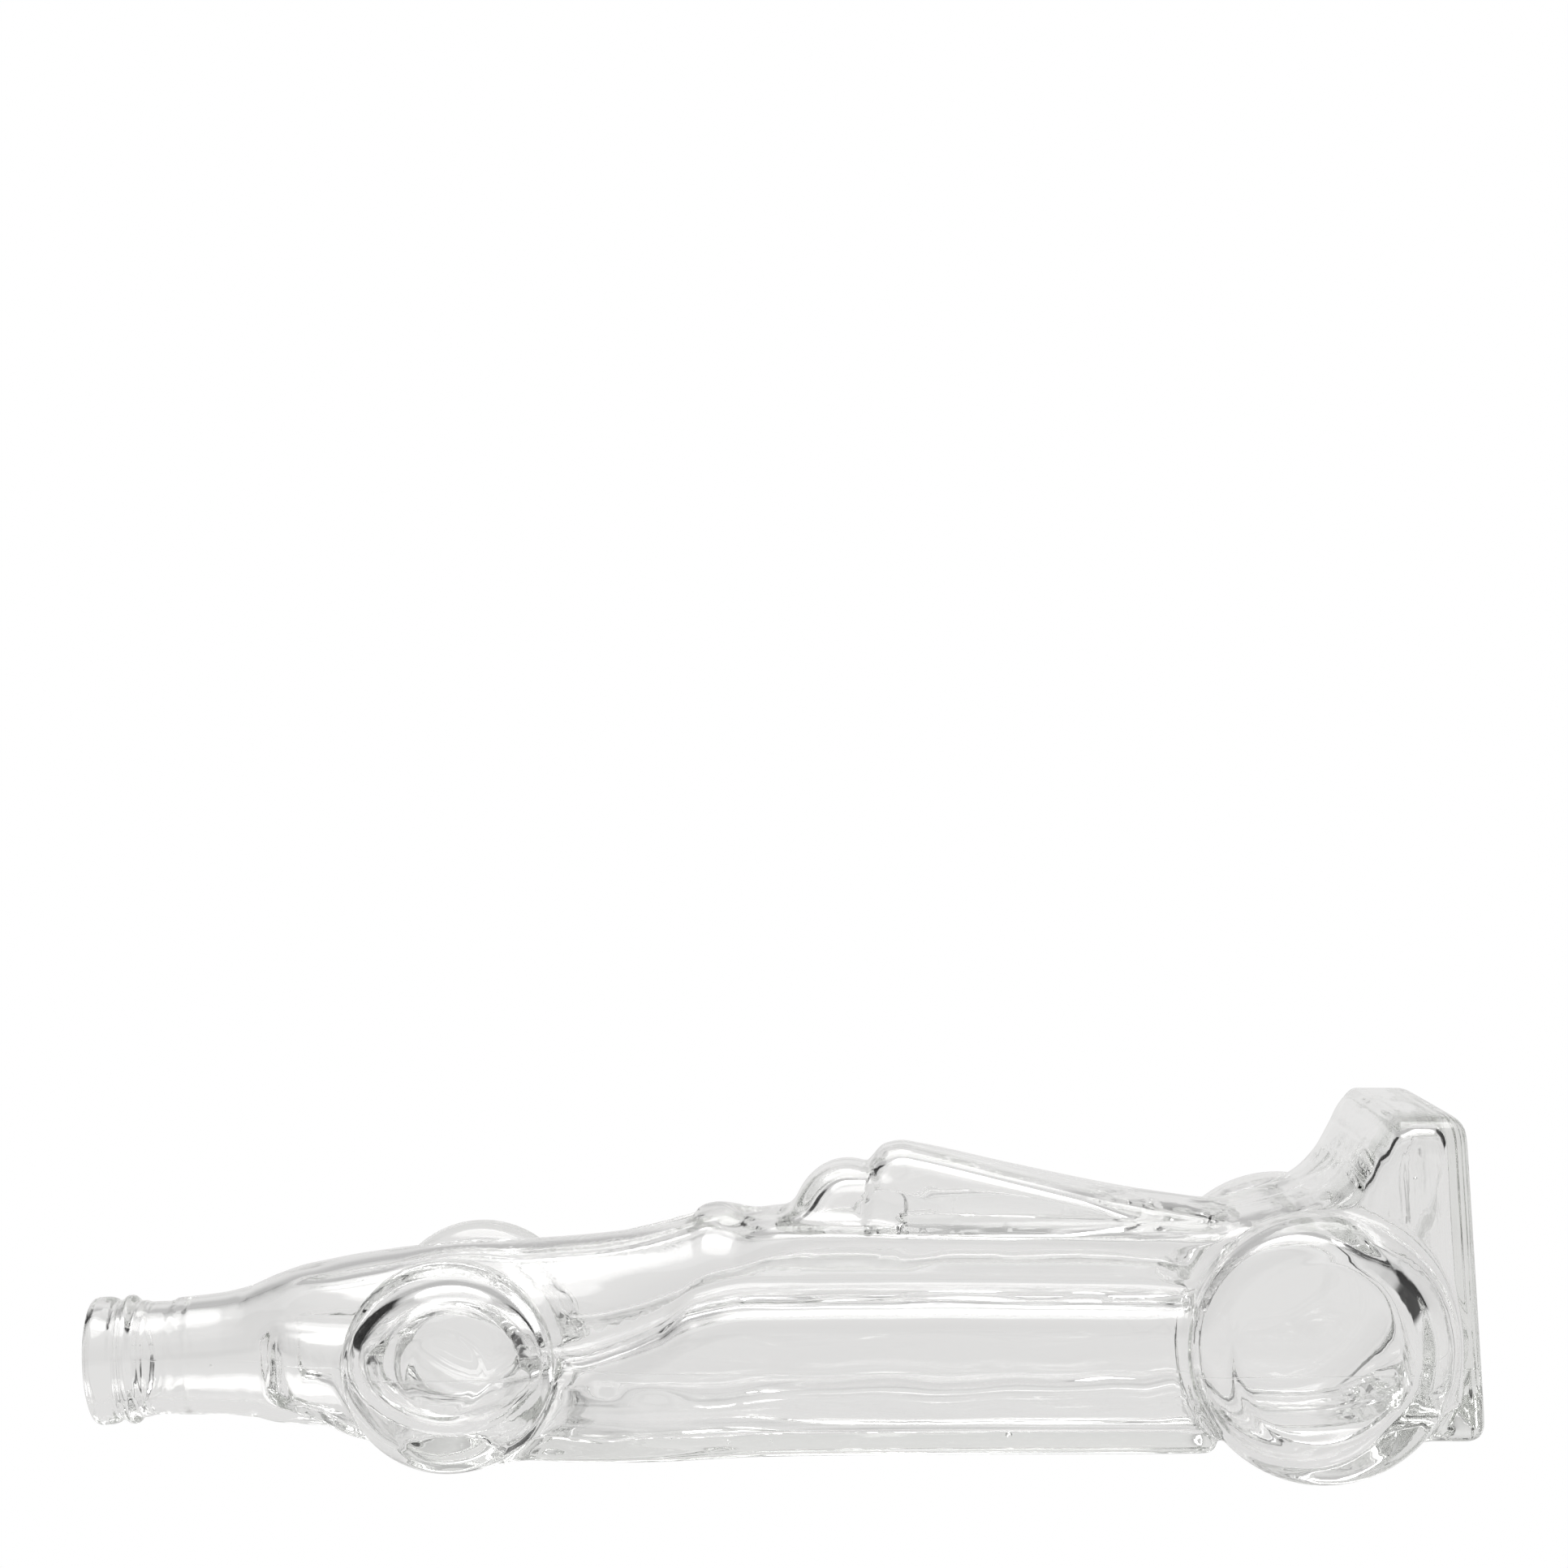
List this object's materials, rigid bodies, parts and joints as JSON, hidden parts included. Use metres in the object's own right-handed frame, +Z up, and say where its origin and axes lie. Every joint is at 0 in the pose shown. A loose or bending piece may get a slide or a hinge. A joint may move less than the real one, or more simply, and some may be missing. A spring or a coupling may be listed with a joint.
{
  "type": "bottle",
  "caption": "Clear glass bottle in the shape of an open-wheel racing car, with a corkable neck at the nose and a flat standing base at the tail.",
  "frame": {"origin": "centre of the bounding box, on the ground that the four wheels rest on", "axes": "+X from the mouth at the nose to the standing base at the tail, +Z up with the car on its wheels"},
  "size_m": [0.293, 0.0912, 0.074],
  "materials": {
    "clear_glass": "clear flint container glass, fire-polished, with a faint mould seam and slightly wavy walls"
  },
  "bodies": {
    "root": {"glass_bottle": "clear_glass"}
  },
  "joints": []
}
